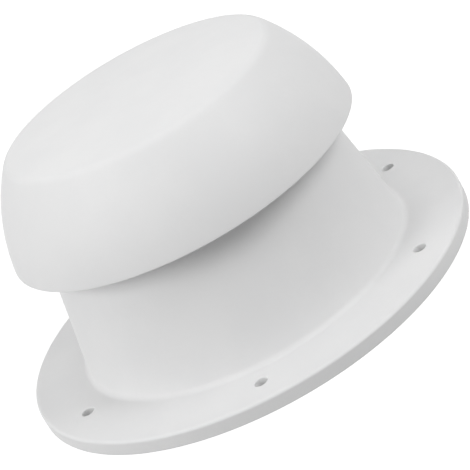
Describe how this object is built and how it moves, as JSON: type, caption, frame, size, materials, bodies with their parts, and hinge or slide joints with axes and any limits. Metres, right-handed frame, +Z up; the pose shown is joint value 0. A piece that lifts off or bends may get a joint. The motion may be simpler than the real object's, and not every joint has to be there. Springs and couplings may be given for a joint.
{
  "type": "mushroom roof vent",
  "caption": "Round moulded roof vent: a drilled flange and tapered neck under an overhanging mushroom cap that sheds rain while air leaves through the ring gap below its rim.",
  "frame": {"origin": "centre of the flange's mounting plane, where it lies on the roof", "axes": "+Z up along the neck, out of the roof; +X through one of the flange's screw holes"},
  "size_m": [0.16, 0.16, 0.0844],
  "materials": {
    "white_plastic": "satin white moulded plastic",
    "screen_mesh": "grey coated woven mesh",
    "stainless_steel": "plain stainless steel"
  },
  "bodies": {
    "root": {"base": "white_plastic", "cap": "white_plastic", "insect_screen": "screen_mesh", "cap_screw": "stainless_steel", "washer": "stainless_steel"}
  },
  "joints": []
}
